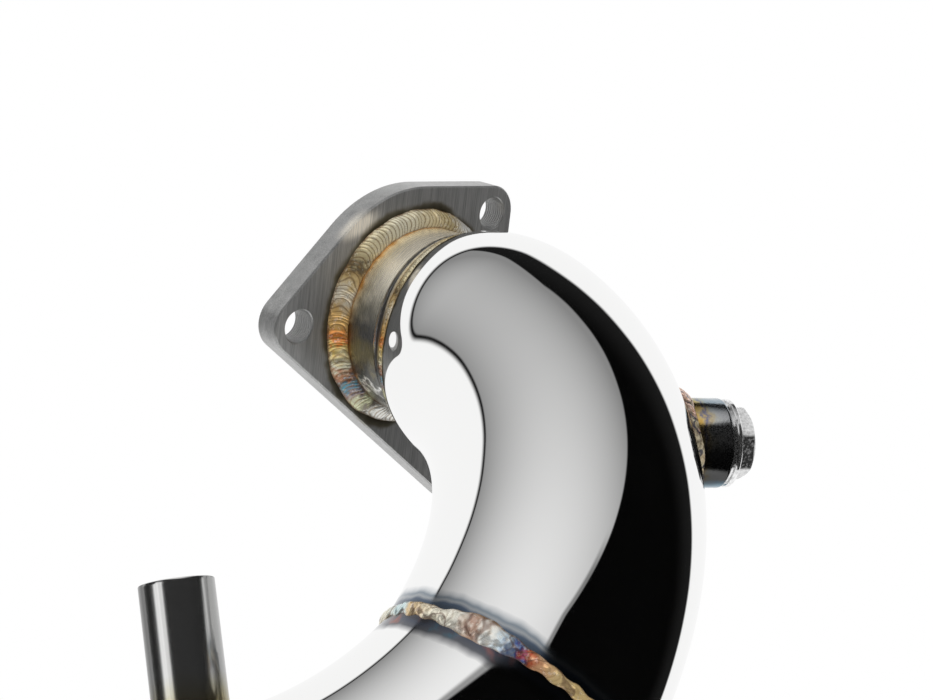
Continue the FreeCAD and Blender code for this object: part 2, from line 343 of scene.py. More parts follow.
# Finishes: each is one node tree. Links is a small writer for them.
class Links:
    """Adds nodes to a material or world, one call each, and returns the output that is wanted."""

    def __init__(self, tree):
        self.tree = tree
        tree.nodes.clear()

    def add(self, kind, inputs=None, output=0, **settings):
        node = self.tree.nodes.new("ShaderNode" + kind)
        for key, value in settings.items():
            setattr(node, key, value)
        for key, value in (inputs or {}).items():
            if isinstance(value, bpy.types.NodeSocket):
                self.tree.links.new(value, node.inputs[key])
            else:
                node.inputs[key].default_value = value
        return node.outputs[output] if node.outputs else node

    def math(self, operation, a, b=0.0, c=0.0):
        return self.add("Math", {0: a, 1: b, 2: c}, operation=operation)

    def product(self, first, *others):
        for other in others:
            first = self.math("MULTIPLY", first, other)
        return first

    def highest(self, first, *others):
        for other in others:
            first = self.math("MAXIMUM", first, other)
        return first

    def length(self, a, b):
        """The root of a a + b b."""
        return self.math("SQRT", self.math("MULTIPLY_ADD", a, a, self.math("MULTIPLY", b, b)))

    def dot(self, vector, way):
        return self.add("VectorMath", {0: vector, 1: tuple(way)}, "Value", operation="DOT_PRODUCT")

    def reach(self, place, start, way):
        """How far place lies from start along way, in metres."""
        return self.dot(self.add("VectorMath", {0: place, 1: tuple(-start * MM)}), way)

    def share(self, value, low, high):
        """Straight share of value from low to high, held between 0 and 1."""
        return self.add("MapRange", {0: value, 1: low, 2: high})

    def step(self, value, low, high, to_low=0.0, to_high=1.0):
        """Smooth step of value from low to high."""
        return self.add("MapRange", {0: value, 1: low, 2: high, 3: to_low, 4: to_high},
                        interpolation_type="SMOOTHSTEP")

    def mix(self, share, a, b, blend="MIX"):
        return self.add("Mix", {0: share, 6: a, 7: b}, 2, data_type="RGBA", blend_type=blend)

    def as_grey(self, value):
        return self.add("CombineXYZ", {0: value, 1: value, 2: value})

    def noise(self, vector, scale, detail=3.0, roughness=0.5):
        return self.add("TexNoise", {"Vector": vector, "Scale": scale, "Detail": detail,
                                     "Roughness": roughness})

    def frayed(self, value, noise, size):
        """value + (noise - 0.5) size, which makes the edges of what follows ragged."""
        return self.math("MULTIPLY_ADD", noise, size, self.math("SUBTRACT", value, size / 2))

    def brushed(self, place, scale, detail, roughness):
        """Noise stretched by a scale for each axis, as brushing leaves it."""
        return self.noise(self.add("Mapping", {"Vector": place, "Scale": scale}), 1.0, detail,
                          roughness)

    def rings(self, along, pitch):
        """The sine of along with this pitch in millimetres, as a turning tool leaves it."""
        return self.math("SINE", self.math("MULTIPLY", along, 2 * np.pi / (pitch * MM)))

    def ramp(self, value, stops):
        """Colours at rising places, blended between them."""
        node = self.tree.nodes.new("ShaderNodeValToRGB")
        self.tree.links.new(value, node.inputs[0])
        elements = node.color_ramp.elements
        for end, (place, colour) in zip(elements, (stops[0], stops[-1])):
            end.position = place
            end.color = (*colour, 1)
        for place, colour in stops[1:-1]:
            elements.new(place).color = (*colour, 1)
        return node.outputs[0]

    def bump(self, height, depth):
        """depth is how high the height's range of one stands, in metres."""
        return self.add("Bump", {"Height": height, "Distance": depth})


def metal(name, build):
    """A metal whose build function gives colour, roughness and normal sockets or values."""
    material = bpy.data.materials.new(name)
    material.use_nodes = True
    links = Links(material.node_tree)
    place = links.add("TexCoord", output="Object")
    uv = links.add("TexCoord", output="UV")
    inputs = {"Metallic": 1.0}
    inputs.update(build(links, place, uv))
    shader = links.add("BsdfPrincipled", inputs)
    links.add("OutputMaterial", {"Surface": shader})
    return material


def grey(level):
    """A neutral colour."""
    return (level, level, level)


SILVER = (0.94, 0.94, 0.935)
CREAM = (0.98, 0.86, 0.60)


def mirror_steel(links, place, uv):
    """Mirror polish over a faintly rippled tube, greyed by heat beside the mitre and the seam."""
    zone_end, zone_start = 0.0075, 0.0022
    from_joint = links.reach(place, joint_centre, joint_normal)
    past = links.step(from_joint, -0.0005, 0.0005)
    ragged = links.frayed(from_joint, links.noise(place, 110.0, 2.0), 0.0034)
    above = links.share(ragged, -zone_end, -zone_start)
    before = links.ramp(above, [(0.0, SILVER), (0.25, (0.62, 0.64, 0.66)),
                                (0.45, (0.24, 0.28, 0.32)), (0.62, (0.36, 0.38, 0.40)),
                                (0.80, (0.09, 0.12, 0.17)), (1.0, (0.07, 0.09, 0.12))])
    below = links.share(ragged, zone_end, zone_start)
    after = links.ramp(below, [(0.0, SILVER), (0.20, (0.50, 0.50, 0.51)),
                               (0.42, (0.13, 0.135, 0.15)), (0.80, (0.08, 0.09, 0.12)),
                               (1.0, (0.06, 0.06, 0.07))])
    colour = links.mix(past, before, after)

    # Brown and teal spots in the heat zone below the joint
    zone = links.math("MINIMUM", above, below)
    stain = links.ramp(links.noise(place, 75.0, 1.0),
                       [(0.42, (0.06, 0.20, 0.28)), (0.62, (0.42, 0.12, 0.07))])
    spots = links.step(links.noise(place, 190.0, 2.0), 0.55, 0.80)
    colour = links.mix(links.product(spots, links.step(zone, 0.30, 0.60), past), colour, stain)

    # Dull grey beside the collar seam, wider low down than at the top
    from_seam = links.math("MULTIPLY_ADD", links.dot(place, Y), -1.0, collar_end * MM)
    limit = links.step(links.dot(place, Z), 0.020, 0.004, 0.0032, 0.0062)
    scorch = links.step(links.math("SUBTRACT", from_seam, limit), 0.0, -0.0012)
    colour = links.mix(scorch, colour, (0.10, 0.10, 0.105, 1))

    smear = links.noise(place, 260.0, 5.0, 0.6)
    roughness = links.math("ADD", links.step(smear, 0.35, 0.75, 0.020, 0.034),
                           links.step(links.highest(zone, scorch), 0.0, 0.9, 0.0, 0.14))
    roughness = links.math("MULTIPLY_ADD", scorch, 0.45, roughness)
    return {"Base Color": colour, "Roughness": roughness,
            "Normal": links.bump(links.noise(place, 38.0, 1.0), 0.00006)}


def brushed_plate(links, place, uv):
    """Upright brush lines, a straw halo round the collar, a painted highlight beside the bead and
    the drill's rings in the holes.
    """
    highlight_middle, highlight_way = (-0.0262, 0.0, 0.0308), (0.88, 0.0, 0.47)
    highlight_length, highlight_width = 0.0095, 0.0038
    lines = links.brushed(place, (4200.0, 4200.0, 70.0), 3.0, 0.7)
    broad = links.brushed(place, (420.0, 420.0, 16.0), 2.0, 0.6)
    flat = links.add("VectorMath", {0: place, 1: (1.0, 0.0, 1.0)}, operation="MULTIPLY")
    radius = links.add("VectorMath", {0: flat}, "Value", operation="LENGTH")
    shade = links.math("MULTIPLY_ADD", lines, 0.40, links.math("MULTIPLY", broad, 0.12))
    colour = links.ramp(shade, [(0.17, grey(0.27)), (0.36, (0.62, 0.62, 0.61))])

    # Halo round the collar, and a painted highlight beside the bead, both on the welded side only
    rear = links.step(links.dot(place, Y), -0.0045, -0.0085)
    reach = links.math("MULTIPLY_ADD", links.noise(place, 90.0), -0.007, radius)
    straw = links.ramp(reach, [(0.0300, (0.04, 0.03, 0.02)), (0.0318, (0.07, 0.06, 0.03)),
                               (0.0330, (0.17, 0.14, 0.07)), (0.0345, (0.34, 0.31, 0.24))])
    halo = links.step(reach, 0.0345, 0.0325)
    colour = links.mix(links.product(halo, rear), colour, straw)
    # Painted highlight: a pale oval beside the bead, streaked by the brush lines
    off = links.add("VectorMath", {0: flat, 1: highlight_middle}, operation="SUBTRACT")
    long = links.product(links.dot(off, highlight_way), 1 / highlight_length)
    wide = links.product(links.dot(off, (-highlight_way[2], 0.0, highlight_way[0])), 1 / highlight_width)
    painted_highlight = links.product(links.step(links.length(long, wide), 1.1, 0.3),
                          links.step(lines, 0.30, 0.60, 0.35, 1.0), rear)
    colour = links.mix(painted_highlight, colour, (1.0, 0.93, 0.80, 1))

    # Drilled walls of the holes, with the drill's rings
    holes = []
    for x, z in bolt_holes:
        away = links.add("VectorMath", {0: flat, 1: (x * MM, 0.0, z * MM)}, "Value",
                         operation="DISTANCE")
        holes.append(links.step(away, (bolt_hole_radius + 0.15) * MM,
                                (bolt_hole_radius + 0.02) * MM))
    rings = links.product(links.rings(links.dot(place, Y), 0.9), links.highest(*holes))
    height = links.math("MULTIPLY_ADD", lines, 0.7, links.math("MULTIPLY", broad, 0.6))
    height = links.math("MULTIPLY_ADD", rings, 2.0, height)
    # The painted highlight is rougher and less metallic, so that its pale colour shows.
    roughness = links.math("MULTIPLY_ADD", painted_highlight, 0.25, links.step(lines, 0.3, 0.7, 0.30, 0.42))
    return {"Base Color": colour, "Roughness": roughness, "Normal": links.bump(height, 0.00005),
            "Metallic": links.math("MULTIPLY_ADD", painted_highlight, -0.42, 0.72)}


def collar_steel(links, place, uv):
    """Tube with a brown line at the bead, straw beyond it, fine marks round it, and painted
    reflections as light and dark bands by its height.
    """
    ragged = links.noise(place, 210.0, 4.0)
    from_bead = links.math("MULTIPLY_ADD", links.dot(place, Y), -1.0, -0.0125)
    share = links.share(links.frayed(from_bead, ragged, 0.0050), 0.0, 0.013)
    colour = links.ramp(share, [(0.0, (0.42, 0.18, 0.05)), (0.07, (0.80, 0.46, 0.18)),
                                (0.16, (0.94, 0.84, 0.68)), (0.34, (0.98, 0.95, 0.86)),
                                (0.62, (0.95, 0.94, 0.92)), (1.0, (0.93, 0.93, 0.92))])
    near_face = links.step(links.dot(place, Y), -0.0120, -0.0090)
    colour = links.mix(near_face, colour, (0.80, 0.80, 0.79, 1))
    # Painted reflections: light and dark bands by height, fixed to the collar, multiplied into its
    # colour
    level = links.frayed(links.dot(place, Z), ragged, 0.016)
    painted_reflection_by_height = links.ramp(links.share(level, -0.022, 0.026),
                      [(0.0, (0.14, 0.14, 0.13)), (0.05, (0.14, 0.14, 0.13)),
                       (0.085, (0.95, 0.95, 0.93)), (0.12, (0.13, 0.13, 0.12)),
                       (0.18, (0.13, 0.13, 0.12)), (0.30, (0.30, 0.26, 0.15)), (0.46, grey(0.14)),
                       (0.60, (0.40, 0.38, 0.32)), (0.74, (0.92, 0.86, 0.72)),
                       (1.0, (0.98, 0.90, 0.74))])
    colour = links.mix(1.0, colour, painted_reflection_by_height, "MULTIPLY")
    lines = links.brushed(place, (150.0, 3200.0, 150.0), 3.0, 0.6)
    return {"Base Color": colour, "Roughness": links.step(lines, 0.3, 0.7, 0.20, 0.34),
            "Normal": links.bump(lines, 0.000014), "Metallic": 0.66}


def weld_metal(stops, blotches=0.03, contours=0.0, metallic=0.50, valley=0.70, toe=0.9,
               ink=(0.20, 0.09, 0.05), flecks=0.45):
    """Bead metal whose oxide colour runs along the bead by the given stops, broken up by noise.

    contours is the share of thin lines of the ink colour that follow the noise's level lines, as
    frozen flow does. valley is how dark the ripples' valleys are, toe how brown the bead's two
    edges, and flecks how pale the noise's high spots.
    """
    def build(links, place, uv):
        along = links.add("SeparateXYZ", {0: uv})
        across = links.add("SeparateXYZ", {0: uv}, output=1)
        blotch = links.noise(place, 420.0)
        share = links.frayed(along, blotch, 2 * blotches)
        colour = links.ramp(links.math("FRACT", share), stops)
        spots = links.noise(place, 700.0, 3.0, 0.6)
        pale = links.step(spots, 0.52, 0.72, 0.0, flecks)
        colour = links.mix(pale, colour, (0.98, 0.94, 0.84, 1))
        groove = links.add("Attribute", output="Fac", attribute_name="groove")
        low = links.step(groove, 0.75, 0.25, 0.0, valley)
        colour = links.mix(low, colour, (0.25, 0.15, 0.06, 1))
        levels = links.math("FRACT", links.product(links.noise(place, 95.0, 1.5, 0.4), 6.0))
        line = links.math("ABSOLUTE", links.math("SUBTRACT", levels, 0.5))
        line = links.step(line, 0.12, 0.03, 0.0, contours)
        colour = links.mix(line, colour, (*ink, 1))
        edge = links.math("ABSOLUTE", links.math("SUBTRACT", across, 0.5))
        edge = links.product(links.step(edge, 0.36, 0.48),
                             links.step(blotch, 0.35, 0.60, toe / 3, toe))
        colour = links.mix(edge, colour, (0.24, 0.14, 0.07, 1))
        return {"Base Color": colour, "Roughness": links.step(spots, 0.3, 0.7, 0.16, 0.30),
                "Normal": links.bump(links.noise(place, 900.0, 2.0), 0.000016),
                "Metallic": metallic}
    return build


def turned_steel(links, place, uv):
    """Fine rings round the bung, heat spots near its foot, and a painted reflection from its
    underside to its top: blue edges, a dark band and a white band.
    """
    lift = links.reach(place, sensor_foot, sensor_way)
    ragged = links.noise(place, 170.0, 4.0, 0.65)
    from_skin = links.math("SUBTRACT", lift, (pipe_radius + 1.0) * MM)
    heat = links.ramp(links.share(links.frayed(from_skin, ragged, 0.010), -0.002, 0.006),
                      [(0.0, (0.45, 0.30, 0.14)), (0.20, (0.90, 0.58, 0.16)),
                       (0.36, (0.95, 0.70, 0.30)), (0.50, (0.30, 0.30, 0.42)),
                       (0.62, (0.80, 0.66, 0.42)), (0.80, (0.76, 0.76, 0.72)), (1.0, grey(0.74))])
    # Painted reflection by height across the bung: blue edges, a dark band low down and a white
    # band high up
    up = links.product(links.reach(place, sensor_foot, sensor_up), 1 / (bung_radius * MM))
    up = links.frayed(up, ragged, 0.30)
    painted_reflection_band = links.ramp(links.math("MULTIPLY_ADD", up, 0.5, 0.5),
                      [(0.0, (0.36, 0.48, 0.56)), (0.06, (0.09, 0.25, 0.36)),
                       (0.14, (0.03, 0.08, 0.12)), (0.20, grey(0.07)), (0.55, grey(0.20)),
                       (0.70, grey(1.0)), (0.92, (0.95, 0.97, 1.0)), (1.0, (0.36, 0.46, 0.54))])
    grain = links.noise(place, 1500.0, 3.0, 0.6)
    height = links.math("MULTIPLY_ADD", links.rings(lift, 0.42), 0.4, grain)
    return {"Base Color": links.mix(1.0, heat, painted_reflection_band, "MULTIPLY"),
            "Roughness": links.step(grain, 0.3, 0.7, 0.12, 0.20),
            "Normal": links.bump(height, 0.000006)}


def plated_steel(links, place, uv):
    """Plated plug: bright, with cutter marks, and a painted dark reflection, broken up by noise,
    in the middle of the head's flats.
    """
    lift = links.reach(place, sensor_foot, sensor_way)
    marks = links.noise(place, 1100.0, 3.0, 0.6)
    colour = links.ramp(marks, [(0.34, grey(0.62)), (0.56, grey(0.92))])
    up = links.product(links.reach(place, sensor_foot, sensor_up),
                       1 / (hex_across_flats / 2 * MM))
    on_head = links.step(lift, head_foot * MM, (head_foot + 0.2) * MM)
    # Painted dark reflection in the middle of each flat of the head, broken up by noise
    painted_dark_flats = links.product(links.step(links.math("ABSOLUTE", up), 0.60, 0.48),
                           links.step(links.noise(place, 1300.0, 2.0, 0.6), 0.66, 0.50, 0.72, 1.0),
                           links.step(lift, (head_top - 0.3) * MM, (head_top - 0.7) * MM), on_head)
    colour = links.mix(painted_dark_flats, colour, (*grey(0.045), 1))
    height = links.math("MULTIPLY_ADD", links.rings(lift, 0.55), 0.2, marks)
    return {"Base Color": colour, "Roughness": links.step(marks, 0.3, 0.7, 0.10, 0.20),
            "Normal": links.bump(height, 0.000006),
            "Metallic": links.math("MULTIPLY_ADD", on_head, -0.70, 0.97)}


def satin_tube(links, place, uv):
    """Drawn tube with lines along it, straw and olive near its foot, and painted dark reflections
    on two sides, one strong and one faint.
    """
    lift = links.reach(place, branch_foot, branch_way)
    stretched = links.add("VectorMath", {0: uv, 1: (1800.0, 9.0, 1.0)}, operation="MULTIPLY")
    lines = links.noise(stretched, 1.0, 3.0, 0.6)
    from_skin = links.math("SUBTRACT", lift, (pipe_radius + 4.0) * MM)
    reach = links.math("MULTIPLY_ADD", links.noise(place, 120.0), 0.008, from_skin)
    colour = links.ramp(links.share(reach, 0.0, 0.012),
                        [(0.0, (0.40, 0.30, 0.16)), (0.3, (0.66, 0.58, 0.34)),
                         (0.6, (0.72, 0.69, 0.56)), (1.0, (0.78, 0.78, 0.77))])
    colour = links.mix(links.step(lines, 0.42, 0.62, 0.0, 0.25), colour, (*grey(0.50), 1))
    # Painted dark reflections along the tube: strong on one side, faint on the other, kept off its
    # cut mouth
    aside = links.product(links.reach(place, branch_foot, dark_reflection_way),
                          1 / (branch_radius * MM))
    painted_reflection_sides = links.product(links.step(aside, -0.62, -0.80, 1.0, 0.20),
                         links.step(aside, 0.74, 0.90, 1.0, 0.5))
    cut = links.step(lift, (branch_top - 0.20) * MM, (branch_top - 0.05) * MM)
    colour = links.mix(1.0, colour, links.as_grey(links.highest(painted_reflection_sides, cut)), "MULTIPLY")
    roughness = links.math("MULTIPLY_ADD", cut, 0.25, links.step(lines, 0.3, 0.7, 0.13, 0.22))
    return {"Base Color": colour, "Roughness": roughness, "Normal": links.bump(lines, 0.000014),
            "Metallic": links.math("MULTIPLY_ADD", cut, -0.6, 0.985)}


def to_joint(out, radius):
    """How far past the joint's centre a line along the exit, off the axis by out, meets the mitre.

    In words: minus (out . joint normal) radius over (exit . joint normal).
    """
    return -(out @ joint_normal) * radius / (upper_exit_way @ joint_normal)


def make_upper_elbow(mirror):
    """Necked at its start, bent, and led straight on to the mitre plane.

    The bend's rows are its skin with the neck's radius. The straight's are the bend's end + radius
    (inward cos t + normal sin t) + the exit way times a share of the run to the mitre.
    """
    turn = around(pipe_columns)[None]
    angle = np.linspace(0, 1, bend_rows)[:, None] ** 1.15 * upper_bend_angle
    share = np.minimum(angle / neck_angle, 1)
    spin = turn[..., None]
    ring = upper_exit_inward * np.cos(spin) + upper_bend.normal * np.sin(spin)
    layers = []
    for start, radius in ((collar_radius, pipe_radius), (collar_inner, pipe_inner)):
        swell = neck_radius(start, radius, share) + 0 * turn
        bent = upper_bend.skin(angle + 0 * turn, turn + 0 * angle, swell)
        reach = to_joint(ring, radius) + upper_tangent
        run = np.linspace(0.05, 1, straight_rows)[:, None, None] * reach[..., None]
        bend_end = joint_centre - upper_exit_way * upper_tangent
        layers.append(np.concatenate([bent, bend_end + ring * radius + upper_exit_way * run]))
    tube("upper_elbow_shell", layers[0], layers[1], upper_skin_length,
         (sensor_foot, sensor_way, thread_radius), (mirror, "upper_elbow", "pipe"))


def make_lower_elbow(mirror):
    """From the mitre plane, found by Newton steps on the bend angle, to the straight tail's end.

    The bend's rows are its skin at even steps from there on. The tail's are its start + the tail
    way times the run + radius (inward cos t + normal sin t), both edges broken at the end.
    """
    turn = around(pipe_columns)[None]
    stations = np.linspace(0, 1, bend_rows)[:, None]
    spin = turn[..., None]
    ring = lower_bend.inward(lower_bend_angle) * np.cos(spin) + lower_bend.normal * np.sin(spin)
    run = np.array([0.02, 0.2, 0.4, 0.6, 0.8, 0.97, 1 - tail_edge_break / tail_length, 1.0])
    layers = []
    for radius, chamfer in ((pipe_radius, -tail_edge_break), (pipe_inner, tail_edge_break)):
        first = np.zeros_like(turn)
        for _ in range(6):
            skin = lower_bend.skin(first, turn, radius + 0 * turn)
            gap = (skin - joint_centre) @ joint_normal
            first = first - gap / np.radians(bend_radius - radius * np.cos(turn))
        angle = first + (lower_bend_angle - first) * stations
        bent = lower_bend.skin(angle, turn + 0 * angle, radius + 0 * angle)
        rim = radius + np.array([0, 0, 0, 0, -0.01, -0.02, -0.03, chamfer])
        straight = (tail_start + tail_way * tail_length * run[:, None, None]
                    + ring * rim[:, None, None])
        layers.append(np.concatenate([bent, straight]))
    tube("lower_elbow_shell", layers[0], layers[1], lower_skin_length,
         (branch_foot, branch_way, branch_radius - branch_wall), (mirror, "lower_elbow", "pipe"))


def revolved(name, profile, foot, way, columns, finish):
    """Profile rows (radius r, height h) carried round as rings about the way from foot."""
    points = np.array([side_ring(foot, way, r, h)(around(columns)) for r, h in profile])
    size = 2 * np.pi * max(r for r, _ in profile)
    length = abs(profile[-1][1] - profile[0][1]) + 1.0
    wrapped(name, points, size * MM, length * MM, finish)


def on_pipe(bend, points, way):
    """The points moved along way onto the pipe's skin, by Newton steps on their distance."""
    for _ in range(12):
        from_centre = points - bend.centre
        lift = from_centre @ bend.normal
        flat = from_centre - lift[..., None] * bend.normal
        spread = np.linalg.norm(flat, axis=-1) - bend.radius
        distance = np.hypot(spread, lift)
        slope = (unit(flat) * (spread / distance)[..., None]
                 + bend.normal * (lift / distance)[..., None])
        points = points - way * ((distance - pipe_radius) / (slope * way).sum(-1))[..., None]
    return points


def side_ring(foot, way, radius, lift):
    """foot + way lift + radius (side cos t + other sin t), as a function of the turn t."""
    side = unit(np.cross(way, Z))
    other = np.cross(way, side)

    def ring(turn):
        t = turn[..., None]
        return foot + way * lift + radius * (side * np.cos(t) + other * np.sin(t))
    return ring


def saddle(name, bend, foot, way, radius, leg, crown, pitch, ripple, seed, finish):
    """A side fitting's bead: one toe a leg away on the pipe's skin, one a leg up the fitting."""
    outer_ring = side_ring(foot, way, radius + leg, pipe_radius)
    wall_ring = side_ring(foot, way, radius, pipe_radius)

    def toe_on_pipe(turn):
        swing = wander(turn, seed + 5, (2, 9), 0.35)[:, None]
        axis = foot + way * pipe_radius
        out = outer_ring(turn) - axis
        return on_pipe(bend, axis + out * (1 + swing / (radius + leg)), way)

    def toe_on_wall(turn):
        up = leg + wander(turn, seed + 6, (2, 9), 0.35)
        return on_pipe(bend, wall_ring(turn), way) + way * up[:, None]

    def root(turn):
        return on_pipe(bend, wall_ring(turn), way) - way * saddle_root_depth
    weld(name, toe_on_pipe, toe_on_wall, root, crown, pitch, ripple, seed, finish)


def coped(bend, foot, way, radius, turn):
    """The line in which a side fitting's cylinder meets the pipe's skin."""
    return on_pipe(bend, side_ring(foot, way, radius, pipe_radius)(turn), way)


def make_bung(steel):
    """Turned boss as rings about its axis: coped foot, side, broken edge, bore, coped bore end."""
    turn = around(144)

    def ring(radius, lift):
        return side_ring(sensor_foot, sensor_way, radius, lift)(turn)
    foot_edge = coped(upper_bend, sensor_foot, sensor_way, bung_radius, turn)
    rows = [foot_edge, foot_edge * 0.5 + 0.5 * ring(bung_radius, bung_top - 3)]
    rows += [ring(bung_radius - inward, bung_top - down) for inward, down in bung_edge]
    rows += [ring(thread_radius + 0.3, bung_top), ring(thread_radius, bung_top - 0.3),
             coped(upper_bend, sensor_foot, sensor_way, thread_radius, turn)]
    wrapped("sensor_bung_body", np.array(rows), 2 * np.pi * bung_radius * MM, v_size=0.02,
            finish=(steel, "sensor_bung", "fittings"))


def make_washer(steel):
    """Flat ring with broken outer edges."""
    inner = thread_radius + thread_clearance
    low = bung_top + 0.02
    top = bung_top + washer_thickness
    revolved("plug_washer_ring",
             [(inner, low), (washer_radius - 0.3, low), (washer_radius, bung_top + 0.35),
              (washer_radius, top - 0.3), (washer_radius - 0.3, top), (inner, top)],
             sensor_foot, sensor_way, 120, (steel, "plug_washer", "plug"))


def make_plug(steel):
    """Shank, flange and hexagon head, as rows whose radius may differ round the axis.

    A flat's radius at turn t is half the width over flats / cos(t - the flat's middle). It is held
    below the corners' radius, and the chamfer falls with how far it stands out past the flats.
    """
    side = unit(np.cross(sensor_way, Z))
    other = np.cross(sensor_way, side)
    turn = around(180)
    along_pipe = upper_bend.tangent(sensor_bend_angle)
    corner_turn = np.arctan2(along_pipe @ other, along_pipe @ side)
    flat_radius = hex_across_flats / 2
    from_flat = np.mod(turn - corner_turn, np.pi / 3) - np.pi / 6
    head = np.minimum(flat_radius / np.cos(from_flat), flat_radius * hex_corner_share)
    fall = (head - flat_radius) * np.tan(np.radians(hex_chamfer_slope))
    shank = thread_radius - thread_clearance
    low = bung_top - plug_shank_length
    flange_low = bung_top + washer_thickness
    profile = [(0.0, low), (4.0, low), (shank - 0.8, low), (shank, low + 0.8), (shank, flange_low),
               (plug_flange_radius - 0.3, flange_low), (plug_flange_radius, flange_low + 0.3),
               (plug_flange_radius, head_foot - 0.4), (plug_flange_radius - 0.4, head_foot),
               (head + 0.25, head_foot), (head, head_foot + 0.25),
               (head, head_top - fall - 0.25), (head - 0.12, head_top - fall - 0.05),
               (flat_radius - 0.25, head_top - 0.02), (flat_radius - 1.2, head_top),
               (0.0, head_top)]
    radii, lifts = [np.array([value + 0 * turn for value in values])[..., None]
                    for values in zip(*profile)]
    out = side * np.cos(turn[:, None]) + other * np.sin(turn[:, None])
    wrapped("sensor_plug_body", sensor_foot + sensor_way * lifts + out * radii, u_size=0.08,
            v_size=0.02, finish=(steel, "sensor_plug", "plug"), sharp=28.0, close_rows=False)


def make_side_pipe(steel):
    """Open tube as rings about its axis: coped foot, side, rounded mouth, bore, coped bore end."""
    inner = branch_radius - branch_wall
    turn = around(144)

    def ring(radius, lift):
        return side_ring(branch_foot, branch_way, radius, lift)(turn)
    rows = [coped(lower_bend, branch_foot, branch_way, branch_radius, turn),
            ring(branch_radius, branch_top - 22)]
    rows += [ring(branch_radius - inward, branch_top - down) for inward, down in side_pipe_edge]
    rows += [ring(inner - inward, branch_top - down) for inward, down in bore_edge]
    rows.append(coped(lower_bend, branch_foot, branch_way, inner, turn))
    wrapped("side_pipe", np.array(rows), 2 * np.pi * branch_radius * MM, v_size=0.07,
            finish=(steel, "branch_tube", "branch"))


def make_collar(steel):
    """Collar tube, its mating end flush with the flange's face."""
    revolved("collar_tube",
             [(collar_radius, -0.2), (collar_radius, -plate_thickness), (collar_radius, -20.0),
              (collar_radius, collar_end), (collar_inner, collar_end), (collar_inner, -13.0),
              (collar_inner, -0.3), (collar_inner + 0.3, 0.0), (collar_radius - 0.2, 0.0)],
             0 * Y, Y, pipe_columns, (steel, "inlet_collar", "collar"))


def axis_ring(radius, y):
    """Y y + radius (X cos t + Z sin t), t the turn. radius and y are numbers or functions of t."""
    def ring(turn):
        r = np.asarray(radius(turn) if callable(radius) else radius)[..., None]
        t = turn[..., None]
        return Y * (y(turn)[..., None] if callable(y) else y) + r * (X * np.cos(t) + Z * np.sin(t))
    return ring


def make_collar_beads(flange_bead, seam_bead):
    """The flange's fillet bead and the thin seam between collar and neck."""
    def on_plate(turn):
        return collar_radius + flange_bead_reach + wander(turn, 2, (3, 30), 0.18)

    def up_collar(turn):
        return -plate_thickness - flange_bead_rise + wander(turn, 3, (3, 30), 0.15)
    weld("flange_bead", axis_ring(on_plate, -plate_thickness), axis_ring(collar_radius, up_collar),
         axis_ring(collar_radius, -plate_thickness), crown=0.75, pitch=1.55, ripple=0.15, seed=1,
         finish=(flange_bead, "flange_weld", "weld"), steps=10, across=20)

    def on_neck(turn):
        """The neck's skin one step past the collar, at the same turns about the collar's axis."""
        out = X * np.cos(turn)[..., None] + Z * np.sin(turn)[..., None]
        spin = np.arctan2(out @ upper_bend.normal, out @ upper_bend.toward)
        share = seam_bead_reach / neck_length + 0 * turn
        swell = neck_radius(collar_radius, pipe_radius, share)
        return upper_bend.skin(share * neck_angle, spin, swell)
    weld("collar_seam_bead", axis_ring(collar_radius, collar_end + seam_bead_back), on_neck,
         axis_ring(collar_radius - 0.1, collar_end), crown=0.22, pitch=2.6, ripple=0.02, seed=9,
         finish=(seam_bead, "collar_seam", "weld"), steps=10, across=12)


def make_mitre_bead(steel):
    """The raised bead over the mitre, its toes on either elbow."""
    def half(turn):
        """Half width + the sum of change e^-((share - place) / spread)^2 over the two changes."""
        share = np.mod(turn / (2 * np.pi), 1.0)
        return mitre_bead_half + sum(change * np.exp(-((share - place) / spread) ** 2)
                                     for change, place, spread in mitre_bead_changes)

    def level_way(points):
        """From the joint's centre to the points, within the mitre plane."""
        away = points - joint_centre
        return unit(away - (away @ joint_normal)[..., None] * joint_normal)

    def toe_above(turn):
        t = turn[..., None]
        ring = upper_exit_inward * np.cos(t) + upper_bend.normal * np.sin(t)
        back = to_joint(ring, pipe_radius) - half(turn) + wander(turn, 12, (5, 40), 0.30)
        return joint_centre + ring * pipe_radius + upper_exit_way * back[..., None]

    def toe_below(turn):
        out = level_way(toe_above(turn))
        reach = half(turn) + wander(turn, 13, (5, 40), 0.35)
        beside = joint_centre + out * pipe_radius + joint_normal * reach[..., None]
        return on_pipe(lower_bend, beside, -out)

    def root(turn):
        out = level_way((toe_above(turn) + toe_below(turn)) / 2)
        return joint_centre + out * (pipe_radius - 0.4)
    weld("mitre_bead", toe_above, toe_below, root, crown=0.95, pitch=2.6, ripple=0.08, seed=11,
         finish=(steel, "joint_weld", "weld"), across=22)


# Studio. The camera's place is in millimetres, and its axes are unit vectors.
camera_place = np.array([-409.6423, -447.2267, 136.0374])
camera_right = unit(np.array([0.7233, -0.6810, 0.1146]))
camera_back = np.array([-0.6858, -0.6888, 0.2352])
camera_back = unit(camera_back - camera_right * (camera_back @ camera_right))
camera_up = np.cross(camera_back, camera_right)
camera_lens = 73.0715
camera_sensor = 36.0

# Backdrop: how far ahead a direction points where it starts, and how that falls to the left
backdrop_ahead = 0.625
backdrop_slope = 0.465
backdrop_left = 0.715
backdrop_light = 0.96
backdrop_glow = 0.009

# Soft box overhead, by the directions' slopes across and ahead over their height
box_radius = 0.80
box_place = 0.30
box_lean = -0.62
box_shade = (-0.24, 0.52, -0.636, 0.051)
box_darkest, box_brightest = 0.25, 0.88

# Upright strip light, seen from the part: its turn from +Y towards +X, and its half width
strip_turn = -81.5
strip_half = 15.0
strip_core = 10.0
room_light = 0.0015

